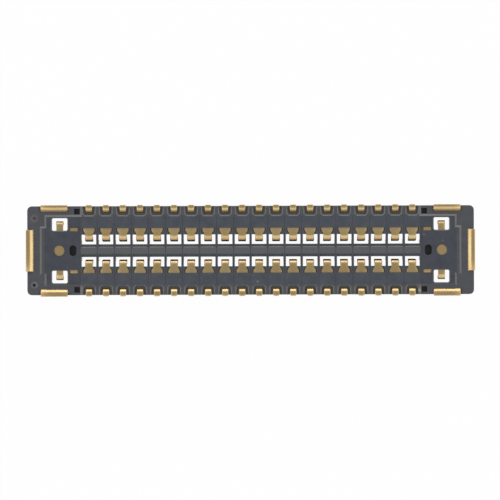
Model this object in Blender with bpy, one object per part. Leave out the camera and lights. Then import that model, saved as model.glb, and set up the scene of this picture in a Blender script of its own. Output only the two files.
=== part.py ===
# Board to board receptacle with two rows of sprung contacts and an end nail at each end.
# +Z is the solder side, the mating face lies at z = 0, +X runs along the contact rows.
import math

import bmesh
import bpy

MM = 0.001

# Contact rows
PITCH = 0.35 * MM
CONTACTS_PER_ROW = 20
ROW_HALF = PITCH * (CONTACTS_PER_ROW - 1) / 2

# Clearances
FIT_GAP = 0.004 * MM
CORE_GAP = 0.018 * MM
NAIL_GAP = 0.010 * MM
TAB_GAP = 0.006 * MM
RECESS_GAP = 0.012 * MM
THROUGH = 0.05 * MM

# Heights above the mating face
SEAT_HEIGHT = 0.60 * MM
FIELD_DROP = 0.03 * MM
FIELD_HEIGHT = SEAT_HEIGHT - FIELD_DROP
RIM_STEP = 0.025 * MM
RIM_HEIGHT = FIELD_HEIGHT - RIM_STEP
BASE_SINK = 0.04 * MM
BASE_TOP = FIELD_HEIGHT - BASE_SINK
RIB_LEDGE_HEIGHT = BASE_TOP
GROOVE_FLOOR_THICKNESS = 0.15 * MM
FLOOR_HEIGHT = FIELD_HEIGHT - GROOVE_FLOOR_THICKNESS
POCKET_FLOOR_THICKNESS = 0.16 * MM
POCKET_FLOOR = FIELD_HEIGHT - POCKET_FLOOR_THICKNESS
NOTCH_DEPTH = 0.035 * MM
NOTCH_FLOOR = RIM_HEIGHT - NOTCH_DEPTH
TAB_NOTCH_DEPTH = 0.045 * MM
TAB_NOTCH_FLOOR = RIM_HEIGHT - TAB_NOTCH_DEPTH
LEDGE_HEIGHT = 0.05 * MM
ISLAND_HEIGHT = 0.03 * MM
CREST_TOP = 0.035 * MM

# Housing outline
HALF_WIDTH = 0.914 * MM
END_LENGTH = 1.2675 * MM
HALF_LENGTH = ROW_HALF + END_LENGTH
CORNER_RADIUS = 0.09 * MM
EDGE_CHAMFER = 0.012 * MM
POCKET_WALL = 0.224 * MM
POCKET_HALF_WIDTH = HALF_WIDTH - POCKET_WALL

# Raised field of the solder side, its steps measured from the last contact
FIELD_SHOULDER = 0.18 * MM
FIELD_SETBACK = 0.3525 * MM
FIELD_END = END_LENGTH - FIELD_SETBACK
FIELD_TONGUE_LENGTH = 0.095 * MM
FIELD_TONGUE_END = FIELD_END + FIELD_TONGUE_LENGTH
FIELD_SIDE_SETBACK = 0.179 * MM
FIELD_HALF_WIDTH = HALF_WIDTH - FIELD_SIDE_SETBACK
FIELD_TONGUE_SETBACK = 0.235 * MM
FIELD_TONGUE_HALF_WIDTH = FIELD_HALF_WIDTH - FIELD_TONGUE_SETBACK
FIELD_SLOPE = 0.04 * MM

# Contact stock and its path across the width, from the foot to the spring tip
STOCK = 0.06 * MM
BEND_RADIUS = 0.06 * MM
FOOT_OVERHANG = 0.020 * MM
FOOT_TIP = HALF_WIDTH + FOOT_OVERHANG
LEG_INSET = 0.104 * MM
LEG_OFFSET = HALF_WIDTH - LEG_INSET
ARM_OFFSET = 0.215 * MM
CREST_SHIFT = 0.0175 * MM
INNER_LEG_OFFSET = (LEG_OFFSET + ARM_OFFSET) / 2 + CREST_SHIFT
BASE_RUN = 0.125 * MM
SHOULDER_OFFSET = INNER_LEG_OFFSET - BASE_RUN
TONGUE_RUN = 0.115 * MM
TONGUE_START = ARM_OFFSET + TONGUE_RUN
FOOT_WIDTH = 0.14 * MM
BASE_WIDTH = 0.26 * MM
TONGUE_WIDTH = 0.16 * MM
HUMP_OUT = 0.055 * MM
HUMP_HEIGHT = 0.15 * MM
ARM_TIP_IN = 0.018 * MM
ARM_TIP_DROP = 0.075 * MM
ARM_TIP_HEIGHT = HUMP_HEIGHT - ARM_TIP_DROP

# Openings of one contact cell
NOTCH_SIDE_ROOM = 0.09 * MM
NOTCH_WIDTH = FOOT_WIDTH + NOTCH_SIDE_ROOM
NOTCH_INNER_GAP = 0.05 * MM
NOTCH_END = LEG_OFFSET - STOCK / 2 - NOTCH_INNER_GAP
NOTCH_CORNER = 0.035 * MM
NOTCH_CHAMFER = 0.028 * MM
NOTCH_CHAMFER_DEPTH = 0.016 * MM
WINDOW_SIDE_ROOM = 0.04 * MM
WINDOW_WIDTH = BASE_WIDTH + WINDOW_SIDE_ROOM
WINDOW_INNER_ROOM = 0.084 * MM
WINDOW_INNER = ARM_OFFSET - WINDOW_INNER_ROOM
WINDOW_OUTER_ROOM = 0.112 * MM
WINDOW_OUTER = ARM_OFFSET + WINDOW_OUTER_ROOM
RECESS_SETBACK = 0.067 * MM
RECESS_OUTER = INNER_LEG_OFFSET - RECESS_SETBACK
RIB_LEDGE = 0.049 * MM
RIB_SLOPE_FOOT = WINDOW_INNER - RIB_LEDGE
RIB_SLOPE = 0.02 * MM
RIB_SLOPE_TOP = RIB_SLOPE_FOOT - RIB_SLOPE
RIB_SLOPE_DEPTH = 0.012 * MM

# Mating side
ISLAND_SETBACK = 0.005 * MM
ISLAND_HALF_WIDTH = ARM_OFFSET - ISLAND_SETBACK
GROOVE_SETBACK = 0.02 * MM
GROOVE_OUTER = INNER_LEG_OFFSET - GROOVE_SETBACK
LEDGE_MARGIN = 0.042 * MM
LEDGE_OUTER = LEG_OFFSET + LEDGE_MARGIN
LEDGE_END = 0.19 * MM

# End nail: folds measured from the last contact along X, tabs from the centre line along Y
NAIL_BEND_RADIUS = 0.045 * MM
TAB_BEND_RADIUS = 0.048 * MM
NAIL_OVERHANG = 0.02 * MM
NAIL_FOOT_OUT = END_LENGTH + NAIL_OVERHANG
NAIL_LEG_INSET = 0.1125 * MM
NAIL_LEG_OUT = END_LENGTH - NAIL_LEG_INSET
ARMOUR_SPAN = 0.165 * MM
NAIL_DROP_OUT = NAIL_LEG_OUT - ARMOUR_SPAN
SIDE_OVERHANG = 0.020 * MM
SIDE_FOOT_OUT = HALF_WIDTH + SIDE_OVERHANG
SIDE_LEG_INSET = 0.0915 * MM
SIDE_LEG_OFFSET = HALF_WIDTH - SIDE_LEG_INSET
SIDE_TAB_LENGTH = 0.555 * MM
SIDE_TAB_SETBACK = 0.275 * MM
SIDE_TAB_CENTRE = NAIL_DROP_OUT - SIDE_TAB_SETBACK
PLATE_INSET = 0.29 * MM
NAIL_DROP_HALF = POCKET_HALF_WIDTH - PLATE_INSET
TAB_SHOULDER = 0.0225 * MM
NAIL_TAB_HALF = NAIL_DROP_HALF + TAB_SHOULDER
ARMOUR_CORNER = 0.05 * MM
PLATE_INNER_END = 0.455 * MM
LUG_SETBACK = 0.05 * MM
LUG_OUTER_END = PLATE_INNER_END - LUG_SETBACK
LUG_LENGTH = 0.195 * MM
LUG_INNER_END = LUG_OUTER_END - LUG_LENGTH
LUG_REACH = 0.085 * MM
LUG_HALF_OUT = NAIL_DROP_HALF + LUG_REACH
LUG_ROOT = 0.10 * MM
LUG_HALF_IN = NAIL_DROP_HALF - LUG_ROOT
NAIL_TONGUE_WIDTH = 0.145 * MM
NAIL_ARM_REACH = 0.175 * MM
NAIL_ARM_OFFSET = NAIL_DROP_HALF + NAIL_ARM_REACH
NAIL_ARM_IN = 0.05 * MM
NAIL_HUMP_HEIGHT = 0.18 * MM
NAIL_TIP_DROP = 0.08 * MM
NAIL_ARM_TIP_HEIGHT = NAIL_HUMP_HEIGHT - NAIL_TIP_DROP

# End pockets, measured from the last contact
ISLAND_GAP = 0.02 * MM
ISLAND_END = PLATE_INNER_END - ISLAND_GAP
POCKET_MARGIN = 0.04 * MM
POCKET_END = NAIL_DROP_OUT + POCKET_MARGIN
POCKET_CORNER = 0.05 * MM
CREST_GAP = 0.0125 * MM
CREST_CUT_START = SIDE_TAB_CENTRE - SIDE_TAB_LENGTH / 2 - CREST_GAP
ARMOUR_INNER = POCKET_HALF_WIDTH + NAIL_GAP

# End windows, holes and slits, measured from the last contact
END_WINDOW_CENTRE = 0.60 * MM
END_WINDOW_WIDTH = 0.317 * MM
END_WINDOW_GAP = 0.013 * MM
END_WINDOW_INNER = NAIL_DROP_HALF + END_WINDOW_GAP
END_WINDOW_WALL = 0.022 * MM
END_WINDOW_OUTER = POCKET_HALF_WIDTH - END_WINDOW_WALL
END_WINDOW_CORNER = 0.02 * MM
END_WINDOW_CHAMFER = 0.018 * MM
END_WINDOW_CHAMFER_DEPTH = 0.010 * MM
PIN_HOLE_SHIFT = 0.012 * MM
PIN_HOLE_CENTRE = END_WINDOW_CENTRE + PIN_HOLE_SHIFT
PIN_HOLE_RADIUS = 0.109 * MM
SLIT_CENTRE = (LUG_INNER_END + LUG_OUTER_END) / 2
SLIT_LENGTH = 0.175 * MM
SLIT_INSET = 0.045 * MM
SLIT_OFFSET = LUG_HALF_OUT - SLIT_INSET
SLIT_WIDTH = 0.08 * MM
OVAL_CENTRE = 0.328 * MM
OVAL_LENGTH = 0.216 * MM
OVAL_WIDTH = 0.14 * MM
OVAL_CORNER = 0.056 * MM
OVAL_DEPTH = 0.37 * MM
CORE_HOLE_CENTRE = 0.245 * MM
CORE_HOLE_INSET = 0.109 * MM
CORE_HOLE_OFFSET = HALF_WIDTH - CORE_HOLE_INSET
CORE_HOLE_SIDE = 0.113 * MM
CORE_HOLE_DEPTH = 0.30 * MM

# Marks on the left end only, measured from the last contact
RING_MARK_END_INSET = 0.1325 * MM
RING_MARK_CENTRE = END_LENGTH - RING_MARK_END_INSET
RING_MARK_SIDE_INSET = 0.244 * MM
RING_MARK_OFFSET = HALF_WIDTH - RING_MARK_SIDE_INSET
RING_MARK_RADIUS = 0.083 * MM
RING_MARK_WIDTH = 0.02 * MM
RING_MARK_DEPTH = 0.01 * MM
DOT_MARK_END_INSET = 0.1425 * MM
DOT_MARK_CENTRE = END_LENGTH - DOT_MARK_END_INSET
DOT_MARK_SIDE_INSET = 0.208 * MM
DOT_MARK_OFFSET = HALF_WIDTH - DOT_MARK_SIDE_INSET
DOT_MARK_RADIUS = 0.07 * MM
DOT_HOLE_RADIUS = 0.03 * MM
DOT_HOLE_DEPTH = 0.12 * MM

# Steps of the bends, corners and round holes
BEND_STEPS = 3
TIGHT_STEPS = 2
CORNER_STEPS = 1
HOLE_STEPS = 14


def clear_scene():
    for item in list(bpy.data.objects):
        bpy.data.objects.remove(item)


def make_material(name, colour, roughness, metallic):
    material = bpy.data.materials.new(name)
    material.use_nodes = True
    shader = material.node_tree.nodes["Principled BSDF"]
    shader.inputs["Base Color"].default_value = (*colour, 1.0)
    shader.inputs["Roughness"].default_value = roughness
    shader.inputs["Metallic"].default_value = metallic
    return material


def link_object(name, mesh):
    item = bpy.data.objects.new(name, mesh)
    bpy.context.scene.collection.objects.link(item)
    return item


def finish_mesh(name, bm):
    bmesh.ops.recalc_face_normals(bm, faces=bm.faces)
    mesh = bpy.data.meshes.new(name)
    bm.to_mesh(mesh)
    bm.free()
    return mesh


def make_body(name, bm):
    return link_object(name, finish_mesh(name, bm))


def loft(loops):
    # Closed body through loops of equal length, one face on each end
    bm = bmesh.new()
    rows = [[bm.verts.new(point) for point in loop] for loop in loops]
    for lower, upper in zip(rows, rows[1:]):
        for i in range(len(lower)):
            j = (i + 1) % len(lower)
            bm.faces.new((lower[i], lower[j], upper[j], upper[i]))
    bm.faces.new(list(reversed(rows[0])))
    bm.faces.new(rows[-1])
    return bm


def prism_z(outline, bottom, top):
    return loft([[(x, y, z) for x, y in outline] for z in (bottom, top)])


def prism_x(outline, half_length):
    return loft([[(x, y, z) for y, z in outline] for x in (-half_length, half_length)])


def rounded_rectangle(x_low, x_high, y_low, y_high, radius, steps):
    corners = (
        (x_high - radius, y_high - radius, 0.0),
        (x_low + radius, y_high - radius, math.pi / 2),
        (x_low + radius, y_low + radius, math.pi),
        (x_high - radius, y_low + radius, 1.5 * math.pi),
    )
    outline = []
    for x, y, start in corners:
        for step in range(steps + 1):
            angle = start + math.pi / 2 * step / steps
            outline.append((x + radius * math.cos(angle), y + radius * math.sin(angle)))
    return outline


def rectangle(x_low, x_high, y_low, y_high):
    return [(x_high, y_high), (x_low, y_high), (x_low, y_low), (x_high, y_low)]


def circle(x, y, radius, steps=HOLE_STEPS):
    angles = [2 * math.pi * step / steps for step in range(steps)]
    return [(x + radius * math.cos(a), y + radius * math.sin(a)) for a in angles]


def offset_outline(outline, distance):
    # Every edge of a counter-clockwise outline moves outward by the distance
    result = []
    count = len(outline)
    for i, (x, y) in enumerate(outline):
        x0, y0 = outline[i - 1]
        x1, y1 = outline[(i + 1) % count]
        before = math.hypot(x - x0, y - y0)
        after = math.hypot(x1 - x, y1 - y)
        nx0, ny0 = (y - y0) / before, (x0 - x) / before
        nx1, ny1 = (y1 - y) / after, (x - x1) / after
        share = distance / (1 + nx0 * nx1 + ny0 * ny1)
        result.append((x + (nx0 + nx1) * share, y + (ny0 + ny1) * share))
    return result


def rounded_path(points):
    # Each point is (across, height, bend radius, width, steps); a bend becomes an arc.
    # The stations hand back (across, height, normal across, normal height, width).
    stations = []
    last = len(points) - 1
    for i, (y, z, radius, width, steps) in enumerate(points):
        before = points[i - 1] if i else None
        after = points[i + 1] if i < last else None
        entry = direction(before, points[i]) if before else direction(points[i], after)
        leave = direction(points[i], after) if after else entry
        cross = entry[0] * leave[1] - entry[1] * leave[0]
        along = entry[0] * leave[0] + entry[1] * leave[1]
        turn = math.atan2(cross, along)
        if not radius or abs(turn) < 1e-6:
            half = turn / 2
            tangent = rotate(entry, half)
            scale = 1 / math.cos(half)
            stations.append((y, z, -tangent[1] * scale, tangent[0] * scale, width))
            continue
        setback = radius * math.tan(abs(turn) / 2)
        side = math.copysign(1.0, turn)
        start = (y - entry[0] * setback, z - entry[1] * setback)
        centre = (start[0] - entry[1] * radius * side, start[1] + entry[0] * radius * side)
        for step in range(steps + 1):
            tangent = rotate(entry, turn * step / steps)
            normal = (-tangent[1], tangent[0])
            across = centre[0] - normal[0] * radius * side
            height = centre[1] - normal[1] * radius * side
            stations.append((across, height, *normal, width))
    return stations


def direction(start, end):
    length = math.hypot(end[0] - start[0], end[1] - start[1])
    return ((end[0] - start[0]) / length, (end[1] - start[1]) / length)


def rotate(vector, angle):
    c, s = math.cos(angle), math.sin(angle)
    return (vector[0] * c - vector[1] * s, vector[0] * s + vector[1] * c)


def formed_strip(points, thickness):
    # Flat strip bent along the path
    half = thickness / 2
    loops = []
    for y, z, ny, nz, width in rounded_path(points):
        side = width / 2
        loops.append(
            [
                (-side, y - ny * half, z - nz * half),
                (side, y - ny * half, z - nz * half),
                (side, y + ny * half, z + nz * half),
                (-side, y + ny * half, z + nz * half),
            ]
        )
    return loft(loops)


def contact_path():
    foot = SEAT_HEIGHT - STOCK / 2
    crest = CREST_TOP + STOCK / 2
    base = BASE_TOP - STOCK / 2
    return [
        (FOOT_TIP, foot, 0, FOOT_WIDTH, 0),
        (LEG_OFFSET, foot, BEND_RADIUS, FOOT_WIDTH, TIGHT_STEPS),
        (LEG_OFFSET, crest, BEND_RADIUS, FOOT_WIDTH, CORNER_STEPS),
        (INNER_LEG_OFFSET, crest, BEND_RADIUS, BASE_WIDTH, CORNER_STEPS),
        (INNER_LEG_OFFSET, base, BEND_RADIUS, BASE_WIDTH, CORNER_STEPS),
        (SHOULDER_OFFSET, base, 0, BASE_WIDTH, 0),
        (TONGUE_START, base, 0, TONGUE_WIDTH, 0),
        (ARM_OFFSET, base, BEND_RADIUS, TONGUE_WIDTH, TIGHT_STEPS),
        (ARM_OFFSET + HUMP_OUT, HUMP_HEIGHT, BEND_RADIUS, TONGUE_WIDTH, CORNER_STEPS),
        (ARM_OFFSET - ARM_TIP_IN, ARM_TIP_HEIGHT, 0, TONGUE_WIDTH, 0),
    ]


def make_contacts(material):
    mesh = finish_mesh("contact", formed_strip(contact_path(), STOCK))
    mesh.materials.append(material)
    for row, turn in (("a", 0.0), ("b", math.pi)):
        for number in range(CONTACTS_PER_ROW):
            contact = link_object(f"contact_{row}_{number + 1:02d}", mesh)
            contact.location.x = number * PITCH - ROW_HALF
            contact.rotation_euler.z = turn


def cut(target, cutter):
    modifier = target.modifiers.new(cutter.name, "BOOLEAN")
    modifier.operation = "DIFFERENCE"
    modifier.solver = "EXACT"
    modifier.object = cutter
    cutter.hide_render = True
    cutter.display_type = "WIRE"


def mirrored(cutter, across_x, across_y):
    # The copies never meet, so nothing is merged
    modifier = cutter.modifiers.new("both sides", "MIRROR")
    modifier.use_axis = (across_x, across_y, False)
    modifier.use_mirror_merge = False
    modifier.merge_threshold = 0.0001 * MM


def repeated(cutter):
    modifier = cutter.modifiers.new("row", "ARRAY")
    modifier.use_relative_offset = False
    modifier.use_constant_offset = True
    modifier.constant_offset_displace = (PITCH, 0, 0)
    modifier.count = CONTACTS_PER_ROW
    cutter.location.x = -ROW_HALF


def housing_block():
    x, y = HALF_LENGTH, HALF_WIDTH
    bm = prism_z(rounded_rectangle(-x, x, -y, y, CORNER_RADIUS, BEND_STEPS), 0.0, FIELD_HEIGHT)
    rims = [edge for edge in bm.edges if abs(edge.verts[0].co.z - edge.verts[1].co.z) < EDGE_CHAMFER / 2]
    bmesh.ops.bevel(bm, geom=rims, offset=EDGE_CHAMFER, offset_type="OFFSET", segments=1, affect="EDGES")
    return make_body("housing", bm)


def end_rim():
    # Lower rim round each end of the raised field, with a sloped step up to it
    shoulder = ROW_HALF + FIELD_SHOULDER
    step = ROW_HALF + FIELD_END
    end = ROW_HALF + FIELD_TONGUE_END
    outer = HALF_WIDTH + THROUGH
    upper = [
        (shoulder, outer),
        (shoulder, FIELD_HALF_WIDTH),
        (step, FIELD_HALF_WIDTH),
        (step, FIELD_TONGUE_HALF_WIDTH),
        (end, FIELD_TONGUE_HALF_WIDTH),
    ]
    outline = upper + [(x, -y) for x, y in reversed(upper)]
    outline += [(HALF_LENGTH + THROUGH, -outer), (HALF_LENGTH + THROUGH, outer)]
    rise = FIELD_HEIGHT - RIM_HEIGHT
    loops = [
        [(x, y, RIM_HEIGHT) for x, y in outline],
        [(x, y, FIELD_HEIGHT + rise) for x, y in offset_outline(outline, FIELD_SLOPE * 2)],
    ]
    cutter = make_body("end rim", loft(loops))
    mirrored(cutter, True, False)
    return cutter


def row_groove():
    # Both grooves for the mating walls, with the island left between them
    side = [
        (GROOVE_OUTER, -THROUGH),
        (GROOVE_OUTER, FLOOR_HEIGHT),
        (ISLAND_HALF_WIDTH, FLOOR_HEIGHT),
        (ISLAND_HALF_WIDTH, ISLAND_HEIGHT),
    ]
    outline = side + [(-y, z) for y, z in reversed(side)]
    bm = prism_x(outline, ROW_HALF + ISLAND_END + THROUGH)
    return make_body("row groove", bm)


def wall_ledge():
    # Lower inner part of each long wall, which the contact crests stand on
    low = GROOVE_OUTER - THROUGH
    outline = rectangle(low, LEDGE_OUTER, -THROUGH, LEDGE_HEIGHT)
    bm = prism_x(outline, ROW_HALF + LEDGE_END)
    cutter = make_body("wall ledge", bm)
    mirrored(cutter, False, True)
    return cutter


def end_pocket():
    start = ROW_HALF + ISLAND_END
    end = ROW_HALF + POCKET_END
    side = POCKET_HALF_WIDTH
    outline = rounded_rectangle(start, end, -side, side, POCKET_CORNER, CORNER_STEPS)
    cutter = make_body("end pocket", prism_z(outline, -THROUGH, POCKET_FLOOR))
    mirrored(cutter, True, False)
    return cutter


def plate_pocket():
    # Pocket of the nail's floor plate and its two lugs, open to the mating side
    end = ROW_HALF + POCKET_END
    inner = ROW_HALF + PLATE_INNER_END - NAIL_GAP
    lug_end = ROW_HALF + LUG_OUTER_END + NAIL_GAP
    lug_start = ROW_HALF + LUG_INNER_END - NAIL_GAP
    lug_out = LUG_HALF_OUT + NAIL_GAP
    lug_in = LUG_HALF_IN - NAIL_GAP
    side = END_WINDOW_INNER + NAIL_GAP * 2
    upper = [
        (end, side),
        (lug_end, side),
        (lug_end, lug_out),
        (lug_start, lug_out),
        (lug_start, lug_in),
        (inner, lug_in),
    ]
    outline = upper + [(x, -y) for x, y in reversed(upper)]
    cutter = make_body("plate pocket", prism_z(outline, -THROUGH, BASE_TOP + NAIL_GAP))
    mirrored(cutter, True, False)
    return cutter


def end_crest():
    # The end walls are lower where the nail lies over them
    side = HALF_WIDTH + THROUGH
    outline = rectangle(ROW_HALF + CREST_CUT_START, HALF_LENGTH + THROUGH, -side, side)
    cutter = make_body("end crest", prism_z(outline, -THROUGH, STOCK + NAIL_GAP))
    mirrored(cutter, True, False)
    return cutter


def end_leg_slot():
    half = STOCK / 2 + TAB_GAP
    leg = ROW_HALF + NAIL_LEG_OUT
    width = NAIL_TAB_HALF + NAIL_GAP
    bm = prism_z(rectangle(leg - half, leg + half, -width, width), -THROUGH, SEAT_HEIGHT)
    cutter = make_body("end leg slot", bm)
    mirrored(cutter, True, False)
    return cutter


def end_tab_notch():
    leg = ROW_HALF + NAIL_LEG_OUT
    width = NAIL_TAB_HALF + NAIL_GAP * 1.5
    bm = prism_z(rectangle(leg, HALF_LENGTH + THROUGH, -width, width), TAB_NOTCH_FLOOR, SEAT_HEIGHT)
    cutter = make_body("end tab notch", bm)
    mirrored(cutter, True, False)
    return cutter


def side_leg_slot():
    half = STOCK / 2 + TAB_GAP
    centre = ROW_HALF + SIDE_TAB_CENTRE
    length = SIDE_TAB_LENGTH / 2 + NAIL_GAP
    inner, outer = SIDE_LEG_OFFSET - half, SIDE_LEG_OFFSET + half
    outline = rectangle(centre - length, centre + length, inner, outer)
    cutter = make_body("side leg slot", prism_z(outline, -THROUGH, SEAT_HEIGHT))
    mirrored(cutter, True, True)
    return cutter


def side_tab_notch():
    centre = ROW_HALF + SIDE_TAB_CENTRE
    length = SIDE_TAB_LENGTH / 2 + NAIL_GAP * 1.5
    outline = rectangle(centre - length, centre + length, SIDE_LEG_OFFSET, HALF_WIDTH + THROUGH)
    cutter = make_body("side tab notch", prism_z(outline, TAB_NOTCH_FLOOR, SEAT_HEIGHT))
    mirrored(cutter, True, True)
    return cutter


def foot_notches():
    # Rounded notch under each solder foot, its upper edge chamfered
    half = NOTCH_WIDTH / 2
    outer = HALF_WIDTH + THROUGH
    outline = [(half, outer), (-half, outer)]
    for turn, centre in ((math.pi, -half + NOTCH_CORNER), (1.5 * math.pi, half - NOTCH_CORNER)):
        for step in range(CORNER_STEPS + 1):
            angle = turn + math.pi / 2 * step / CORNER_STEPS
            x = centre + NOTCH_CORNER * math.cos(angle)
            outline.append((x, NOTCH_END + NOTCH_CORNER * (1 + math.sin(angle))))
    wide = offset_outline(outline, NOTCH_CHAMFER * 2)
    loops = [
        [(x, y, NOTCH_FLOOR) for x, y in outline],
        [(x, y, FIELD_HEIGHT - NOTCH_CHAMFER_DEPTH) for x, y in outline],
        [(x, y, FIELD_HEIGHT + NOTCH_CHAMFER_DEPTH) for x, y in wide],
    ]
    cutter = make_body("foot notches", loft(loops))
    repeated(cutter)
    mirrored(cutter, False, True)
    return cutter


def leg_pockets():
    # Slot of each contact's outer leg, from the notch down and in over the wall's core
    half = STOCK / 2 + FIT_GAP
    leg_in = LEG_OFFSET - STOCK / 2 - CORE_GAP
    core_top = CREST_TOP + STOCK + CORE_GAP
    outline = [
        (LEG_OFFSET + half, -THROUGH),
        (LEG_OFFSET + half, NOTCH_FLOOR + THROUGH / 2),
        (leg_in, NOTCH_FLOOR + THROUGH / 2),
        (leg_in, core_top),
        (leg_in - THROUGH, core_top),
        (leg_in - THROUGH, -THROUGH),
    ]
    cutter = make_body("leg pockets", prism_x(outline, FOOT_WIDTH / 2 + FIT_GAP))
    repeated(cutter)
    mirrored(cutter, False, True)
    return cutter


def inner_leg_pockets():
    # Wider pocket of the crest, the inner leg and the bend into the contact base
    core_top = CREST_TOP + STOCK + CORE_GAP
    core_side = INNER_LEG_OFFSET + STOCK / 2 + CORE_GAP
    groove_side = INNER_LEG_OFFSET - STOCK / 2 - CORE_GAP
    base_low = BASE_TOP - STOCK - CORE_GAP
    outline = [
        (LEG_OFFSET - BEND_RADIUS, -THROUGH),
        (LEG_OFFSET - BEND_RADIUS, core_top),
        (core_side, core_top),
        (core_side, BASE_TOP + FIT_GAP),
        (RECESS_OUTER - THROUGH / 2, BASE_TOP + FIT_GAP),
        (RECESS_OUTER - THROUGH / 2, base_low),
        (groove_side, base_low),
        (groove_side, -THROUGH),
    ]
    cutter = make_body("inner leg pockets", prism_x(outline, BASE_WIDTH / 2 + FIT_GAP))
    repeated(cutter)
    mirrored(cutter, False, True)
    return cutter


def base_recesses():
    # Recess that follows the outline of the contact base, open to the window
    stations = [
        (BASE_WIDTH, RECESS_OUTER),
        (BASE_WIDTH, SHOULDER_OFFSET),
        (TONGUE_WIDTH, TONGUE_START - RECESS_GAP),
    ]
    side = [(width / 2 + FIT_GAP, y) for width, y in stations]
    outline = [(-x, y) for x, y in side] + list(reversed(side))
    bm = prism_z(outline, BASE_TOP - STOCK - RECESS_GAP, FIELD_HEIGHT + THROUGH)
    cutter = make_body("base recesses", bm)
    repeated(cutter)
    mirrored(cutter, False, True)
    return cutter


def rib_ledges():
    # Lower ledge between the window and the centre rib, with a slope up onto the rib
    middle = (WINDOW_INNER + WINDOW_OUTER) / 2
    outline = [
        (middle, FIELD_HEIGHT + RIB_SLOPE_DEPTH),
        (middle, RIB_LEDGE_HEIGHT),
        (RIB_SLOPE_FOOT, RIB_LEDGE_HEIGHT),
        (RIB_SLOPE_FOOT, FIELD_HEIGHT - RIB_SLOPE_DEPTH),
        (RIB_SLOPE_TOP - RIB_SLOPE, FIELD_HEIGHT + RIB_SLOPE_DEPTH),
    ]
    cutter = make_body("rib ledges", prism_x(outline, WINDOW_WIDTH / 2))
    repeated(cutter)
    mirrored(cutter, False, True)
    return cutter


def contact_windows():
    half = WINDOW_WIDTH / 2
    outline = rectangle(-half, half, WINDOW_INNER, WINDOW_OUTER)
    cutter = make_body("contact windows", prism_z(outline, -THROUGH, FIELD_HEIGHT + THROUGH))
    repeated(cutter)
    mirrored(cutter, False, True)
    return cutter


def end_windows():
    centre = ROW_HALF + END_WINDOW_CENTRE
    half = END_WINDOW_WIDTH / 2
    x_low, x_high = centre - half, centre + half
    y_low, y_high = END_WINDOW_INNER, END_WINDOW_OUTER
    outline = rounded_rectangle(x_low, x_high, y_low, y_high, END_WINDOW_CORNER, CORNER_STEPS)
    wide = offset_outline(outline, END_WINDOW_CHAMFER * 2)
    loops = [
        [(x, y, -THROUGH) for x, y in outline],
        [(x, y, FIELD_HEIGHT - END_WINDOW_CHAMFER_DEPTH) for x, y in outline],
        [(x, y, FIELD_HEIGHT + END_WINDOW_CHAMFER_DEPTH) for x, y in wide],
    ]
    cutter = make_body("end windows", loft(loops))
    mirrored(cutter, True, True)
    return cutter


def pin_holes():
    outline = circle(ROW_HALF + PIN_HOLE_CENTRE, 0.0, PIN_HOLE_RADIUS)
    cutter = make_body("pin holes", prism_z(outline, BASE_TOP - THROUGH / 2, FIELD_HEIGHT + THROUGH))
    mirrored(cutter, True, False)
    return cutter


def lug_slits():
    centre = ROW_HALF + SLIT_CENTRE
    half, side = SLIT_LENGTH / 2, SLIT_WIDTH / 2
    outline = rectangle(centre - half, centre + half, SLIT_OFFSET - side, SLIT_OFFSET + side)
    cutter = make_body("lug slits", prism_z(outline, BASE_TOP - THROUGH / 2, FIELD_HEIGHT + THROUGH))
    mirrored(cutter, True, True)
    return cutter


def oval_holes():
    centre = ROW_HALF + OVAL_CENTRE
    x, y = OVAL_WIDTH / 2, OVAL_LENGTH / 2
    outline = rounded_rectangle(centre - x, centre + x, -y, y, OVAL_CORNER, TIGHT_STEPS)
    cutter = make_body("oval holes", prism_z(outline, FIELD_HEIGHT - OVAL_DEPTH, FIELD_HEIGHT + THROUGH))
    mirrored(cutter, True, False)
    return cutter


def core_holes():
    centre = ROW_HALF + CORE_HOLE_CENTRE
    half = CORE_HOLE_SIDE / 2
    outline = rectangle(centre - half, centre + half, CORE_HOLE_OFFSET - half, CORE_HOLE_OFFSET + half)
    cutter = make_body("core holes", prism_z(outline, RIM_HEIGHT - CORE_HOLE_DEPTH, FIELD_HEIGHT + THROUGH))
    mirrored(cutter, True, True)
    return cutter


def ring_mark():
    # Shallow moulded ring near the upper left corner
    x = -ROW_HALF - RING_MARK_CENTRE
    outer = circle(x, RING_MARK_OFFSET, RING_MARK_RADIUS)
    inner = circle(x, RING_MARK_OFFSET, RING_MARK_RADIUS - RING_MARK_WIDTH)
    low = RIM_HEIGHT - RING_MARK_DEPTH
    top = RIM_HEIGHT + THROUGH
    rings = [(outer, top), (outer, low), (inner, low), (inner, top)]
    bm = bmesh.new()
    rows = [[bm.verts.new((px, py, z)) for px, py in ring] for ring, z in rings]
    for k in range(len(rows)):
        row, after = rows[k], rows[(k + 1) % len(rows)]
        for i in range(HOLE_STEPS):
            j = (i + 1) % HOLE_STEPS
            bm.faces.new((row[i], row[j], after[j], after[i]))
    return make_body("ring mark", bm)


def dot_mark():
    # Small hole in a shallow round sink near the lower left corner
    x = -ROW_HALF - DOT_MARK_CENTRE
    wide = circle(x, -DOT_MARK_OFFSET, DOT_MARK_RADIUS)
    small = circle(x, -DOT_MARK_OFFSET, DOT_HOLE_RADIUS)
    loops = [
        [(px, py, RIM_HEIGHT - DOT_HOLE_DEPTH) for px, py in small],
        [(px, py, RIM_HEIGHT - RING_MARK_DEPTH * 2) for px, py in small],
        [(px, py, RIM_HEIGHT - RING_MARK_DEPTH) for px, py in wide],
        [(px, py, RIM_HEIGHT + THROUGH) for px, py in wide],
    ]
    return make_body("dot mark", loft(loops))


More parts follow.
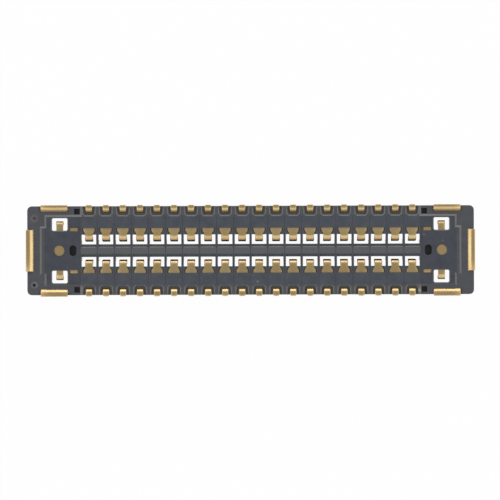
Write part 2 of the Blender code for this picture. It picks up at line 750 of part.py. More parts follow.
def make_housing(material):
    housing = housing_block()
    housing.data.materials.append(material)
    cutters = [
        end_rim(),
        row_groove(),
        wall_ledge(),
        end_pocket(),
        plate_pocket(),
        end_crest(),
        end_leg_slot(),
        end_tab_notch(),
        side_leg_slot(),
        side_tab_notch(),
        foot_notches(),
        contact_windows(),
        base_recesses(),
        rib_ledges(),
        leg_pockets(),
        inner_leg_pockets(),
        end_windows(),
        pin_holes(),
        lug_slits(),
        oval_holes(),
        core_holes(),
        ring_mark(),
        dot_mark(),
    ]
    for cutter in cutters:
        cut(housing, cutter)


def patch(bm, outline, z):
    bm.faces.new([bm.verts.new((x, y, z)) for x, y in outline])


def fold(bm, edge, steps):
    # The edge's points are carried along the steps, leaving a folded sheet behind
    row = [bm.verts.new(point) for point in edge]
    for shift in steps:
        after = [bm.verts.new([a + b for a, b in zip(vert.co, shift)]) for vert in row]
        for i in range(len(row) - 1):
            bm.faces.new((row[i], row[i + 1], after[i + 1], after[i]))
        row = after


def bend_steps(radius, start, turn, steps):
    # Moves along an arc in one plane: the start angle of travel and the turn are in degrees
    moves = []
    chord = 2 * radius * math.sin(math.radians(abs(turn)) / steps / 2)
    for step in range(steps):
        angle = math.radians(start + turn * (step + 0.5) / steps)
        moves.append((chord * math.cos(angle), chord * math.sin(angle)))
    return moves


def along_x(moves):
    return [(a, 0.0, b) for a, b in moves]


def along_y(moves, side):
    return [(0.0, a * side, b) for a, b in moves]


def armour_sheet(bm):
    z = STOCK / 2
    leg = ROW_HALF + NAIL_LEG_OUT - NAIL_BEND_RADIUS
    drop = ROW_HALF + NAIL_DROP_OUT + NAIL_BEND_RADIUS
    side = SIDE_LEG_OFFSET - NAIL_BEND_RADIUS
    tab_start = ROW_HALF + SIDE_TAB_CENTRE - SIDE_TAB_LENGTH / 2
    tab_end = tab_start + SIDE_TAB_LENGTH
    tab, low, inner = NAIL_TAB_HALF, NAIL_DROP_HALF, ARMOUR_INNER
    patch(bm, [(drop, -low), (leg, -tab), (leg, tab), (drop, low)], z)
    for s in (1, -1):
        corner = [
            (drop, s * low),
            (leg, s * tab),
            (leg, s * (side - ARMOUR_CORNER)),
            (leg - ARMOUR_CORNER, s * side),
            (tab_end, s * side),
            (tab_end, s * inner),
            (drop, s * inner),
        ]
        patch(bm, corner, z)
        strip = [(tab_end, side), (tab_start, side), (tab_start, inner), (tab_end, inner)]
        patch(bm, [(x, s * y) for x, y in strip], z)


def end_folds(bm):
    z = STOCK / 2
    radius = NAIL_BEND_RADIUS
    foot = SEAT_HEIGHT - STOCK / 2
    leg = ROW_HALF + NAIL_LEG_OUT
    moves = bend_steps(radius, 0, 90, TIGHT_STEPS)
    moves.append((0.0, foot - z - radius - TAB_BEND_RADIUS))
    moves += bend_steps(TAB_BEND_RADIUS, 90, -90, BEND_STEPS)
    moves.append((NAIL_FOOT_OUT - NAIL_LEG_OUT - TAB_BEND_RADIUS, 0.0))
    fold(bm, [(leg - radius, -NAIL_TAB_HALF, z), (leg - radius, NAIL_TAB_HALF, z)], along_x(moves))
    plate = BASE_TOP - STOCK / 2
    drop = ROW_HALF + NAIL_DROP_OUT
    rise = plate - z - 2 * radius
    moves = bend_steps(radius, 180, -90, TIGHT_STEPS)
    moves.append((0.0, rise))
    moves += bend_steps(radius, 90, 90, TIGHT_STEPS)
    fold(bm, [(drop + radius, -NAIL_DROP_HALF, z), (drop + radius, NAIL_DROP_HALF, z)], along_x(moves))


def side_folds(bm):
    z = STOCK / 2
    radius = NAIL_BEND_RADIUS
    foot = SEAT_HEIGHT - STOCK / 2
    start = ROW_HALF + SIDE_TAB_CENTRE - SIDE_TAB_LENGTH / 2
    moves = bend_steps(radius, 0, 90, TIGHT_STEPS)
    moves.append((0.0, foot - z - radius - TAB_BEND_RADIUS))
    moves += bend_steps(TAB_BEND_RADIUS, 90, -90, BEND_STEPS)
    moves.append((SIDE_FOOT_OUT - SIDE_LEG_OFFSET - TAB_BEND_RADIUS, 0.0))
    for s in (1, -1):
        side = s * (SIDE_LEG_OFFSET - radius)
        edge = [(start, side, z), (start + SIDE_TAB_LENGTH, side, z)]
        fold(bm, edge, along_y(moves, s))


def floor_plate(bm):
    z = BASE_TOP - STOCK / 2
    end = ROW_HALF + NAIL_DROP_OUT - NAIL_BEND_RADIUS
    tongue = ROW_HALF + END_WINDOW_CENTRE
    t0, t1 = tongue - NAIL_TONGUE_WIDTH / 2, tongue + NAIL_TONGUE_WIDTH / 2
    inner = ROW_HALF + PLATE_INNER_END
    lug0, lug1 = ROW_HALF + LUG_INNER_END, ROW_HALF + LUG_OUTER_END
    half, low, out = NAIL_DROP_HALF, LUG_HALF_IN, LUG_HALF_OUT
    patch(bm, [(t1, -half), (end, -half), (end, half), (t1, half)], z)
    patch(bm, [(t0, -half), (t1, -half), (t1, half), (t0, half)], z)
    patch(bm, [(inner, -half), (t0, -half), (t0, half), (inner, half), (inner, low), (inner, -low)], z)
    for s in (1, -1):
        lug = [(inner, low), (inner, half), (lug1, half), (lug1, out), (lug0, out), (lug0, low)]
        patch(bm, [(x, s * y) for x, y in lug], z)


def nail_tongues(bm):
    # Spring tongues from the plate's sides, turned down towards the mating side
    z = BASE_TOP - STOCK / 2
    radius = BEND_RADIUS
    tongue = ROW_HALF + END_WINDOW_CENTRE
    half = NAIL_TONGUE_WIDTH / 2
    bend = NAIL_ARM_OFFSET - radius
    knee = z - radius
    middle = (knee + NAIL_HUMP_HEIGHT) / 2
    moves = [(bend - NAIL_DROP_HALF, 0.0)] + bend_steps(radius, 0, -90, BEND_STEPS)
    moves.append((0.0, middle - knee))
    moves.append((-NAIL_ARM_IN, NAIL_HUMP_HEIGHT - middle))
    moves.append((NAIL_ARM_IN / 2, NAIL_ARM_TIP_HEIGHT - NAIL_HUMP_HEIGHT))
    for s in (1, -1):
        edge = [(tongue - half, s * NAIL_DROP_HALF, z), (tongue + half, s * NAIL_DROP_HALF, z)]
        fold(bm, edge, along_y(moves, s))


def nail_sheet():
    bm = bmesh.new()
    armour_sheet(bm)
    end_folds(bm)
    side_folds(bm)
    floor_plate(bm)
    nail_tongues(bm)
    bmesh.ops.remove_doubles(bm, verts=bm.verts, dist=0.0001 * MM)
    return finish_mesh("end nail", bm)


def make_end_nails(material):
    mesh = nail_sheet()
    mesh.materials.append(material)
    for name, turn in (("end_nail_right", 0.0), ("end_nail_left", math.pi)):
        nail = link_object(name, mesh)
        nail.rotation_euler.z = turn
        wall = nail.modifiers.new("stock", "SOLIDIFY")
        wall.thickness = STOCK
        wall.offset = 0.0
        wall.use_even_offset = True
        wall.use_quality_normals = True


def main():
    clear_scene()
    make_housing(make_material("dark grey moulding", (0.075, 0.082, 0.092), 0.55, 0.0))
    make_contacts(make_material("gold plated contact", (0.72, 0.50, 0.22), 0.30, 1.0))
    make_end_nails(make_material("gold plated nail", (0.72, 0.50, 0.24), 0.32, 1.0))


main()
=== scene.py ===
import math

import bmesh
import bpy
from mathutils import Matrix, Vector


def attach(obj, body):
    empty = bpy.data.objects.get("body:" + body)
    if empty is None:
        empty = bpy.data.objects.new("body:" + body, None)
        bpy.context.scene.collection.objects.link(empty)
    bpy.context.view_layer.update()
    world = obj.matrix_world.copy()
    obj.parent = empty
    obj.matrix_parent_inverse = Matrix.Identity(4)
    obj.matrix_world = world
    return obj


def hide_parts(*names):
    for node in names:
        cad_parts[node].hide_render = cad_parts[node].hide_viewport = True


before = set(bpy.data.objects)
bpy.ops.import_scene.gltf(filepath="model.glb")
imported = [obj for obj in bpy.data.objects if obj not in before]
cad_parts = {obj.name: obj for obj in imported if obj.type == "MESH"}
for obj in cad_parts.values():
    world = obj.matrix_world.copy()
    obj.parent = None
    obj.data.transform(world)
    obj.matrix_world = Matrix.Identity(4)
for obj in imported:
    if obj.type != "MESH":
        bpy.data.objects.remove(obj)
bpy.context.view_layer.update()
mm = 0.001


print("frame loaded:", len(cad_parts), "nodes")

# Sizes that the fine pieces share with the solids under them, in millimetres
part = {
    "pitch": 0.35,
    "perRow": 20,
    "seatHeight": 0.60,
    "fieldHeight": 0.57,
    "stock": 0.06,
}


def addObject(name, data):
    item = bpy.data.objects.new(name, data)
    bpy.context.scene.collection.objects.link(item)
    return item


# Helpers for node trees
def addNode(tree, kind, place, **settings):
    node = tree.nodes.new(kind)
    node.location = place
    for key, value in settings.items():
        setattr(node, key, value)
    return node


def setInputs(node, **values):
    for key, value in values.items():
        node.inputs[key].default_value = value


def link(tree, output, target):
    tree.links.new(output, target)


def mathNode(tree, operation, place, first, second=None, third=None):
    node = addNode(tree, "ShaderNodeMath", place, operation=operation)
    for index, value in enumerate((first, second, third)):
        if value is None:
            continue
        if isinstance(value, (int, float)):
            node.inputs[index].default_value = value
        else:
            link(tree, value, node.inputs[index])
    return node.outputs[0]


def newGroup(name, inputs, outputs):
    group = bpy.data.node_groups.new(name, "ShaderNodeTree")
    for label, kind, value in inputs:
        socket = group.interface.new_socket(name=label, in_out="INPUT", socket_type=kind)
        if value is not None:
            socket.default_value = value
    for label, kind in outputs:
        group.interface.new_socket(name=label, in_out="OUTPUT", socket_type=kind)
    start = addNode(group, "NodeGroupInput", (-900, 0))
    end = addNode(group, "NodeGroupOutput", (900, 0))
    return group, start, end


def newMaterial(name):
    material = bpy.data.materials.new(name)
    material.use_nodes = True
    tree = material.node_tree
    tree.nodes.clear()
    output = addNode(tree, "ShaderNodeOutputMaterial", (900, 0))
    shader = addNode(tree, "ShaderNodeBsdfPrincipled", (550, 0))
    link(tree, shader.outputs[0], output.inputs["Surface"])
    return material, tree, shader


def dress(node, material):
    mesh = bpy.data.objects[node].data
    mesh.materials.clear()
    mesh.materials.append(material)


# Level faces keep their own normals where they meet rounded edges
levelWeight = 60


def flattenFaces(item):
    modifier = item.modifiers.new("levelFaces", "WEIGHTED_NORMAL")
    modifier.mode = "FACE_AREA"
    modifier.weight = levelWeight
    modifier.keep_sharp = True


# Place on the part in millimetres, read from the object's own coordinates
def millimetres(tree, place):
    coordinates = addNode(tree, "ShaderNodeTexCoord", place)
    scale = addNode(tree, "ShaderNodeVectorMath", (place[0] + 180, place[1]), operation="SCALE")
    scale.inputs["Scale"].default_value = 1 / mm
    link(tree, coordinates.outputs["Object"], scale.inputs[0])
    return scale.outputs[0]


# Shared groups: they hand back masks and normals only
def makeCloudGroup():
    group, start, end = newGroup(
        "cloud",
        [
            ("Place", "NodeSocketVector", None),
            ("Scale", "NodeSocketFloat", 4.0),
            ("Contrast", "NodeSocketFloat", 2.0),
        ],
        [("Mask", "NodeSocketFloat")],
    )
    noise = addNode(group, "ShaderNodeTexNoise", (-500, 0))
    setInputs(noise, Detail=4.0, Roughness=0.6)
    link(group, start.outputs["Place"], noise.inputs["Vector"])
    link(group, start.outputs["Scale"], noise.inputs["Scale"])
    centred = mathNode(group, "SUBTRACT", (-250, 0), noise.outputs["Fac"], 0.5)
    spread = mathNode(group, "MULTIPLY_ADD", (0, 0), centred, start.outputs["Contrast"], 0.5)
    clamp = addNode(group, "ShaderNodeClamp", (300, 0))
    link(group, spread, clamp.inputs["Value"])
    link(group, clamp.outputs[0], end.inputs["Mask"])
    return group


def makeGrainGroup():
    # Fine bump of a moulded or rolled surface; a Stretch under one draws the grain out along X
    group, start, end = newGroup(
        "grain",
        [
            ("Place", "NodeSocketVector", None),
            ("Scale", "NodeSocketFloat", 60.0),
            ("Stretch", "NodeSocketFloat", 1.0),
            ("Strength", "NodeSocketFloat", 0.2),
        ],
        [("Normal", "NodeSocketVector")],
    )
    split = addNode(group, "ShaderNodeSeparateXYZ", (-700, 0))
    link(group, start.outputs["Place"], split.inputs[0])
    along = mathNode(group, "MULTIPLY", (-500, 100), split.outputs["X"], start.outputs["Stretch"])
    join = addNode(group, "ShaderNodeCombineXYZ", (-300, 0))
    link(group, along, join.inputs["X"])
    link(group, split.outputs["Y"], join.inputs["Y"])
    link(group, split.outputs["Z"], join.inputs["Z"])
    noise = addNode(group, "ShaderNodeTexNoise", (-100, 0))
    setInputs(noise, Detail=3.0, Roughness=0.55)
    link(group, join.outputs[0], noise.inputs["Vector"])
    link(group, start.outputs["Scale"], noise.inputs["Scale"])
    bump = addNode(group, "ShaderNodeBump", (300, 0))
    bump.inputs["Distance"].default_value = 0.002 * mm
    link(group, start.outputs["Strength"], bump.inputs["Strength"])
    link(group, noise.outputs["Fac"], bump.inputs["Height"])
    link(group, bump.outputs[0], end.inputs["Normal"])
    return group


def useGroup(tree, group, place, vector, **values):
    node = addNode(tree, "ShaderNodeGroup", place, node_tree=group)
    setInputs(node, **values)
    link(tree, vector, node.inputs["Place"])
    return node


def mixColour(tree, place, factor, first, second):
    node = addNode(tree, "ShaderNodeMix", place, data_type="RGBA")
    for index, value in (("Factor", factor), ("A", first), ("B", second)):
        if isinstance(value, (int, float, tuple)):
            node.inputs[index].default_value = value
        else:
            link(tree, value, node.inputs[index])
    return node.outputs["Result"]


def makeRingGroup():
    # Soft ring round a centre in the XY plane; a radius of nought makes it a disc
    group, start, end = newGroup(
        "ring",
        [
            ("Place", "NodeSocketVector", None),
            ("X", "NodeSocketFloat", 0.0),
            ("Y", "NodeSocketFloat", 0.0),
            ("Radius", "NodeSocketFloat", 0.1),
            ("Width", "NodeSocketFloat", 0.02),
        ],
        [("Mask", "NodeSocketFloat")],
    )
    split = addNode(group, "ShaderNodeSeparateXYZ", (-700, 0))
    link(group, start.outputs["Place"], split.inputs[0])
    x = mathNode(group, "SUBTRACT", (-500, 100), split.outputs["X"], start.outputs["X"])
    y = mathNode(group, "SUBTRACT", (-500, -100), split.outputs["Y"], start.outputs["Y"])
    xx = mathNode(group, "MULTIPLY", (-350, 100), x, x)
    both = mathNode(group, "MULTIPLY_ADD", (-200, 0), y, y, xx)
    radius = mathNode(group, "SQRT", (-50, 0), both)
    off = mathNode(group, "SUBTRACT", (100, 0), radius, start.outputs["Radius"])
    off = mathNode(group, "ABSOLUTE", (250, 0), off)
    share = mathNode(group, "DIVIDE", (400, 0), off, start.outputs["Width"])
    mask = addNode(group, "ShaderNodeMapRange", (600, 0), interpolation_type="SMOOTHSTEP")
    setInputs(mask, **{"From Min": 0.35, "From Max": 1.0, "To Min": 1.0, "To Max": 0.0})
    link(group, share, mask.inputs["Value"])
    link(group, mask.outputs[0], end.inputs["Mask"])
    return group


def makeBandGroup():
    # Soft band between two limits of one value
    group, start, end = newGroup(
        "band",
        [
            ("Value", "NodeSocketFloat", 0.0),
            ("Low", "NodeSocketFloat", 0.0),
            ("High", "NodeSocketFloat", 1.0),
            ("Blur", "NodeSocketFloat", 0.01),
        ],
        [("Mask", "NodeSocketFloat")],
    )
    masks = []
    for index, (edge, rising) in enumerate((("Low", True), ("High", False))):
        height = 150 - 300 * index
        value, limit = start.outputs["Value"], start.outputs[edge]
        off = mathNode(group, "SUBTRACT", (-600, height), value, limit)
        share = mathNode(group, "DIVIDE", (-400, height), off, start.outputs["Blur"])
        step = addNode(group, "ShaderNodeMapRange", (-200, height), interpolation_type="SMOOTHSTEP")
        ends = (0.0, 1.0) if rising else (1.0, 0.0)
        setInputs(step, **{"From Min": -0.5, "From Max": 0.5, "To Min": ends[0], "To Max": ends[1]})
        link(group, share, step.inputs["Value"])
        masks.append(step.outputs[0])
    link(group, mathNode(group, "MULTIPLY", (200, 0), *masks), end.inputs["Mask"])
    return group


cloud = makeCloudGroup()
grain = makeGrainGroup()
ring = makeRingGroup()
band = makeBandGroup()


def bandMask(tree, place, value, low, high, blur):
    node = addNode(tree, "ShaderNodeGroup", place, node_tree=band)
    link(tree, value, node.inputs["Value"])
    setInputs(node, Low=low, High=high, Blur=blur)
    return node.outputs["Mask"]


def product(tree, place, *factors):
    result = factors[0]
    for step, factor in enumerate(factors[1:]):
        result = mathNode(tree, "MULTIPLY", (place[0] + 150 * step, place[1]), result, factor)
    return result


# Moulded plastic: colours, the share of each one, and the bands where they lie in millimetres.
# A band has its value, low limit, high limit and blur; no low limit is written as -1.
plasticLook = {
    "colour": (0.052, 0.060, 0.079, 1.0),
    "paleColour": (0.071, 0.081, 0.102, 1.0),
    # Frame and rib colours are paler as painted light, for the light these surfaces catch
    "frameLightColour": (0.098, 0.088, 0.086, 1.0),
    "ribLightColour": (0.116, 0.116, 0.124, 1.0),
    "shadeColour": (0.0, 0.0, 0.0, 1.0),
    # Paler colour as painted light: painted highlight on the slopes between levels, painted light
    # on the pocket floors
    "paintedLightColour": (0.102, 0.100, 0.092, 1.0),
    "grooveColour": (0.030, 0.032, 0.036, 1.0),
    "markColour": (0.140, 0.142, 0.136, 1.0),
    # Near black as painted shade, in the core pits and in the middles of the mould rings
    "holeShadeColour": (0.006, 0.005, 0.005, 1.0),
    "speckColour": (0.30, 0.29, 0.26, 1.0),
    "patches": {"Scale": 5.0, "Contrast": 2.5},
    "mottle": {"Scale": 38.0, "Contrast": 1.6},
    "mottleShare": 0.45,
    "mottleShift": -0.22,
    "frameShare": 0.35,
    "ribLightShare": 0.85,
    "endShade": 0.20,
    "slopeLightShare": 0.80,
    "grooveShare": 0.75,
    "pocketLightShare": 0.95,
    "roughness": 0.23,
    "frameRoughness": 0.05,
    "patchRoughness": 0.06,
    "ior": 1.75,
    "skin": {"Scale": 80.0, "Stretch": 1.0, "Strength": 0.22},
    "grooveDepth": 0.003 * mm,
    "grooveStrength": 0.6,
    "bands": {
        "fieldWidth": ("farY", -1.0, 0.735, 0.02),
        "fieldLength": ("farX", -1.0, 4.24, 0.02),
        "ribWidth": ("farY", -1.0, 0.062, 0.012),
        "rowLength": ("farX", -1.0, 3.50, 0.01),
        # Height of the slopes that get the painted highlight
        "slopeLightHeight": ("height", 0.5475, 0.5685, 0.002),
        "groove": ("fromJoint", -1.0, 0.009, 0.012),
        "grooveLength": ("farX", -1.0, 3.515, 0.01),
        "grooveReach": ("farY", -1.0, 0.700, 0.02),
        "grooveHeight": ("height", 0.50, 1.0, 0.01),
        "pocketHeight": ("height", 0.503, 0.515, 0.004),
        "pocketWidth": ("farY", 0.70, 1.0, 0.01),
        "pitLength": ("farX", 3.49, 3.71, 0.01),
        "pitHeight": ("height", 0.12, 0.52, 0.01),
        "pitWidth": ("farY", -1.0, 0.60, 0.01),
    },
    # Colour and share of the rings, then each ring's place, radius and width
    "marks": (
        ("markColour", 0.85, ((-4.454, 0.668, 0.064, 0.036), (-4.450, -0.706, 0.058, 0.026))),
        ("holeShadeColour", 0.80, ((-4.440, 0.668, 0.0, 0.034), (-4.450, -0.706, 0.0, 0.040))),
    ),
    # Place, size and share of each speck
    "specks": (
        (3.476, -0.831, 0.046, 0.85),
        (0.141, -0.643, 0.024, 0.70),
        (3.950, 0.190, 0.030, 0.25),
        (3.567, 0.316, 0.034, 0.25),
    ),
}


def jointDistance(tree, x):
    # Distance from the nearest border between two contact cells
    cell = mathNode(tree, "DIVIDE", (-2300, -450), x, part["pitch"])
    cell = mathNode(tree, "ADD", (-2150, -450), cell, 0.5)
    cell = mathNode(tree, "FRACT", (-2000, -450), cell)
    cell = mathNode(tree, "SUBTRACT", (-1850, -450), cell, 0.5)
    cell = mathNode(tree, "ABSOLUTE", (-1700, -450), cell)
    return mathNode(tree, "MULTIPLY", (-1550, -450), cell, part["pitch"])


def addMarks(tree, place, colour):
    # Mould rings at the left end with painted shade in their dark middles, then single pale specks
    look = plasticLook
    for row, (paint, amount, rings) in enumerate(look["marks"]):
        masks = []
        for cx, cy, radius, width in rings:
            spot = (-700, 900 + 180 * (2 * row + len(masks)))
            mark = useGroup(tree, ring, spot, place, X=cx, Y=cy, Radius=radius, Width=width)
            masks.append(mark.outputs["Mask"])
        both = mathNode(tree, "MAXIMUM", (-450, 900 + 200 * row), *masks)
        share = product(tree, (-300, 900 + 200 * row), both, amount)
        colour = mixColour(tree, (-50 + 150 * row, 350), share, colour, look[paint])
    for row, (cx, cy, size, amount) in enumerate(look["specks"]):
        height = 900 + 180 * row
        speck = useGroup(tree, ring, (0, height), place, X=cx, Y=cy, Radius=0.0, Width=size)
        share = product(tree, (200, height), speck.outputs["Mask"], amount)
        colour = mixColour(tree, (400 + 150 * row, 500), share, colour, look["speckColour"])
    return colour


def makePlastic():
    look = plasticLook
    material, tree, shader = newMaterial("mouldedPlastic")
    place = millimetres(tree, (-2900, 0))
    split = addNode(tree, "ShaderNodeSeparateXYZ", (-2500, 0))
    link(tree, place, split.inputs[0])
    values = {
        "farX": mathNode(tree, "ABSOLUTE", (-1700, 100), split.outputs["X"]),
        "farY": mathNode(tree, "ABSOLUTE", (-1700, -50), split.outputs["Y"]),
        "height": split.outputs["Z"],
        "fromJoint": jointDistance(tree, split.outputs["X"]),
    }
    masks = {}
    for name, (value, low, high, blur) in look["bands"].items():
        spot = (-1300, 150 - 150 * len(masks))
        masks[name] = bandMask(tree, spot, values[value], low, high, blur)

    patches = useGroup(tree, cloud, (-1500, 500), place, **look["patches"])
    mottle = useGroup(tree, cloud, (-1500, 350), place, **look["mottle"])
    tone = mathNode(
        tree,
        "MULTIPLY_ADD",
        (-1250, 450),
        mottle.outputs["Mask"],
        look["mottleShare"],
        look["mottleShift"],
    )
    tone = mathNode(tree, "ADD", (-1100, 450), tone, patches.outputs["Mask"])
    tone.node.use_clamp = True
    colour = mixColour(tree, (-950, 450), tone, look["colour"], look["paleColour"])

    # The frame round the raised field is painted paler and is less shiny, the rib between the
    # windows is painted paler, both paler as painted light, and the field's ends are a little
    # darker as painted shade
    inside = product(tree, (-1000, 100), masks["fieldWidth"], masks["fieldLength"])
    border = mathNode(tree, "SUBTRACT", (-850, 100), 1.0, inside)
    border = product(tree, (-700, 100), border, look["frameShare"])
    rib = product(tree, (-1000, -50), masks["ribWidth"], masks["rowLength"], look["ribLightShare"])
    ends = mathNode(tree, "SUBTRACT", (-850, -200), inside, masks["rowLength"])
    ends.node.use_clamp = True
    ends = product(tree, (-700, -200), ends, look["endShade"])

    # Slopes between the levels painted paler as painted highlight, fine joints of the mould's
    # inserts at the borders of the cells, the floor of each foot's pocket painted paler as painted
    # light, and the core pits in the middle painted near black as painted shade
    slopeLight = product(tree, (-1000, -350), masks["slopeLightHeight"], look["slopeLightShare"])
    grooveNames = ("groove", "grooveLength", "grooveReach", "grooveHeight")
    groove = product(tree, (-1000, -500), *(masks[name] for name in grooveNames))
    grooveShare = product(tree, (-500, -650), groove, look["grooveShare"])
    pocket = product(tree, (-1000, -800), masks["pocketHeight"], masks["pocketWidth"])
    pocket = product(tree, (-700, -800), pocket, look["pocketLightShare"])
    pit = product(tree, (-1000, -950), masks["pitLength"], masks["pitHeight"], masks["pitWidth"])
    paints = (
        (border, "frameLightColour"),
        (rib, "ribLightColour"),
        (ends, "shadeColour"),
        (slopeLight, "paintedLightColour"),
        (grooveShare, "grooveColour"),
        (pocket, "paintedLightColour"),
        (pit, "holeShadeColour"),
    )
    for index, (share, paint) in enumerate(paints):
        colour = mixColour(tree, (-800 + 100 * index, 600), share, colour, look[paint])
    link(tree, addMarks(tree, place, colour), shader.inputs["Base Color"])

    rough = mathNode(
        tree, "MULTIPLY_ADD", (100, -100), border, look["frameRoughness"], look["roughness"]
    )
    rough = mathNode(
        tree, "MULTIPLY_ADD", (250, -100), patches.outputs["Mask"], look["patchRoughness"], rough
    )
    link(tree, rough, shader.inputs["Roughness"])
    shader.inputs["IOR"].default_value = look["ior"]
    skin = useGroup(tree, grain, (-100, -700), place, **look["skin"])
    dip = mathNode(tree, "SUBTRACT", (100, -500), 1.0, groove)
    bump = addNode(tree, "ShaderNodeBump", (300, -500))
    setInputs(bump, Strength=look["grooveStrength"], Distance=look["grooveDepth"])
    link(tree, dip, bump.inputs["Height"])
    link(tree, skin.outputs["Normal"], bump.inputs["Normal"])
    link(tree, bump.outputs[0], shader.inputs["Normal"])
    return material


# Gold plated strip: rolled faces, with the stamped edges darker and redder
goldLook = {
    "colour": (0.83, 0.63, 0.32, 1.0),
    "redColour": (0.77, 0.55, 0.27, 1.0),
    "edgeColour": (0.40, 0.25, 0.14, 1.0),
    "roughness": 0.21,
    "roughSpread": 0.10,
    "patchContrast": 2.5,
    "grain": {"Scale": 70.0, "Stretch": 0.25},
    # Scale of the patches, strength of the grain and share of each piece's own tone
    "finishes": {"contactGold": (5.0, 0.12, 0.9), "nailGold": (3.0, 0.04, 0.0)},
}


def makeGold(name):
    # Each contact carries its own tone, so that the plating varies from one to the next
    look = goldLook
    scale, grainStrength, toneShare = look["finishes"][name]
    material, tree, shader = newMaterial(name)
    place = millimetres(tree, (-1300, 0))
    patches = useGroup(tree, cloud, (-900, 200), place, Scale=scale, Contrast=look["patchContrast"])
    own = addNode(tree, "ShaderNodeAttribute", (-900, 400), attribute_name="tone")
    own = mathNode(tree, "SUBTRACT", (-750, 400), own.outputs["Fac"], 0.5)
    redness = mathNode(tree, "MULTIPLY_ADD", (-750, 250), own, toneShare, patches.outputs["Mask"])
    redness.node.use_clamp = True
    face = mixColour(tree, (-600, 200), redness, look["colour"], look["redColour"])
    edge = addNode(tree, "ShaderNodeAttribute", (-900, -50), attribute_name="cutEdge")
    colour = mixColour(tree, (-300, 100), edge.outputs["Fac"], face, look["edgeColour"])
    link(tree, colour, shader.inputs["Base Color"])
    spread, least = look["roughSpread"], look["roughness"]
    rough = mathNode(tree, "MULTIPLY_ADD", (-300, -100), patches.outputs["Mask"], spread, least)
    link(tree, rough, shader.inputs["Roughness"])
    skin = useGroup(tree, grain, (-600, -300), place, Strength=grainStrength, **look["grain"])
    link(tree, skin.outputs["Normal"], shader.inputs["Normal"])
    shader.inputs["Metallic"].default_value = 1.0
    return material


plastic = makePlastic()
contactGold = makeGold("contactGold")
nailGold = makeGold("nailGold")
dress("housing", plastic)
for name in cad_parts:
    if name != "housing":
        dress(name, contactGold if name.startswith("contact") else nailGold)
print("materials made")


# Formed contact: one strip with rounded edges, bent along its path; lengths in millimetres
contactShape = {
    "footTip": 0.940,
    "footBend": 0.11,
    "footTight": 0.031,
    "footSlope": 46,
    "leg": 0.806,
    "crestHeight": 0.065,
    "innerLeg": 0.53,
    "baseHeight": 0.50,
    "shoulder": 0.405,
    "tongueStart": 0.330,
    "arm": 0.215,
    "armShare": 0.60,
    "humpOut": 0.055,
    "humpHeight": 0.15,
    "tipIn": 0.018,
    "tipHeight": 0.075,
    "footWidth": 0.134,
    "baseWidth": 0.26,
    "tongueWidth": 0.16,
    "bendRadius": 0.06,
    "wideBend": 0.20,
    "tightBend": 0.021,
    "slope": 26,
    "bendSteps": 8,
    "edgeRadius": 0.009,
    "edgeLimit": 0.45,
    "edgeSteps": 2,
    "domeLength": 0.034,
    "domeSteps": 6,
    "domeShare": 0.90,
    "toneSeed": 7,
}

# Degrees that an eased bend is laid out for: over a right angle, so a short straight follows it
bendTurn = 100
# Turns under this many radians count as straight
straightTurn = 1e-6


def unit(start, end):
    length = math.hypot(end[0] - start[0], end[1] - start[1])
    return ((end[0] - start[0]) / length, (end[1] - start[1]) / length)


def turned(vector, angle):
    c, s = math.cos(angle), math.sin(angle)
    return (vector[0] * c - vector[1] * s, vector[0] * s + vector[1] * c)


def easedBend(leg, height, wide, tight, slope, outward=1):
    # The two corners of a bend that starts wide, down to a slope, and ends tight at the leg
    slope = math.radians(slope)
    run = wide * math.tan(slope / 2) + tight * math.tan((math.radians(bendTurn) - slope) / 2)
    return (leg + outward * run * math.cos(slope), height), (leg, height - run * math.sin(slope))


def contactPoints():
    # Across, height, bend radius, width and share of the stock at each corner of the path
    s = contactShape
    foot = part["seatHeight"] - part["stock"] / 2
    r = s["bendRadius"]
    arm, width, thin = s["arm"], s["tongueWidth"], s["armShare"]
    outer, root = easedBend(s["leg"], foot, s["footBend"], s["footTight"], s["footSlope"])
    first, second = easedBend(arm, s["baseHeight"], s["wideBend"], s["tightBend"], s["slope"])
    return [
        (s["footTip"], foot, 0, s["footWidth"], 1),
        (*outer, s["footBend"], s["footWidth"], 1),
        (*root, s["footTight"], s["footWidth"], 1),
        (s["leg"], s["crestHeight"], r, s["footWidth"], 1),
        (s["innerLeg"], s["crestHeight"], r, s["baseWidth"], 1),
        (s["innerLeg"], s["baseHeight"], r, s["baseWidth"], 1),
        (s["shoulder"], s["baseHeight"], 0, s["baseWidth"], 1),
        (s["tongueStart"], s["baseHeight"], 0, width, 1),
        (*first, s["wideBend"], width, thin),
        (*second, s["tightBend"], width, thin),
        (arm + s["humpOut"], s["humpHeight"], r, width, thin),
        (arm - s["tipIn"], s["tipHeight"], 0, width, thin),
    ]


def bentStations(points, steps):
    # Station: across, height, normal across, normal height, width, share of the stock
    stations = []
    before = points[0][-1]
    for i, (y, z, radius, width, share) in enumerate(points):
        here = (y, z)
        entry = unit(points[i - 1], here) if i else unit(here, points[1])
        leave = unit(here, points[i + 1]) if i + 1 < len(points) else entry
        cross = entry[0] * leave[1] - entry[1] * leave[0]
        turn = math.atan2(cross, entry[0] * leave[0] + entry[1] * leave[1])
        if not radius or abs(turn) < straightTurn:
            tangent = turned(entry, turn / 2)
            stations.append((y, z, -tangent[1], tangent[0], width, share))
            before = share
            continue
        side = math.copysign(1.0, turn)
        back = radius * math.tan(abs(turn) / 2)
        centre = (
            y - entry[0] * back - entry[1] * radius * side,
            z - entry[1] * back + entry[0] * radius * side,
        )
        for step in range(steps + 1):
            tangent = turned(entry, turn * step / steps)
            normal = (-tangent[1], tangent[0])
            across = centre[0] - normal[0] * radius * side
            height = centre[1] - normal[1] * radius * side
            thin = before + (share - before) * step / steps
            stations.append((across, height, normal[0], normal[1], width, thin))
        before = share
    return stations


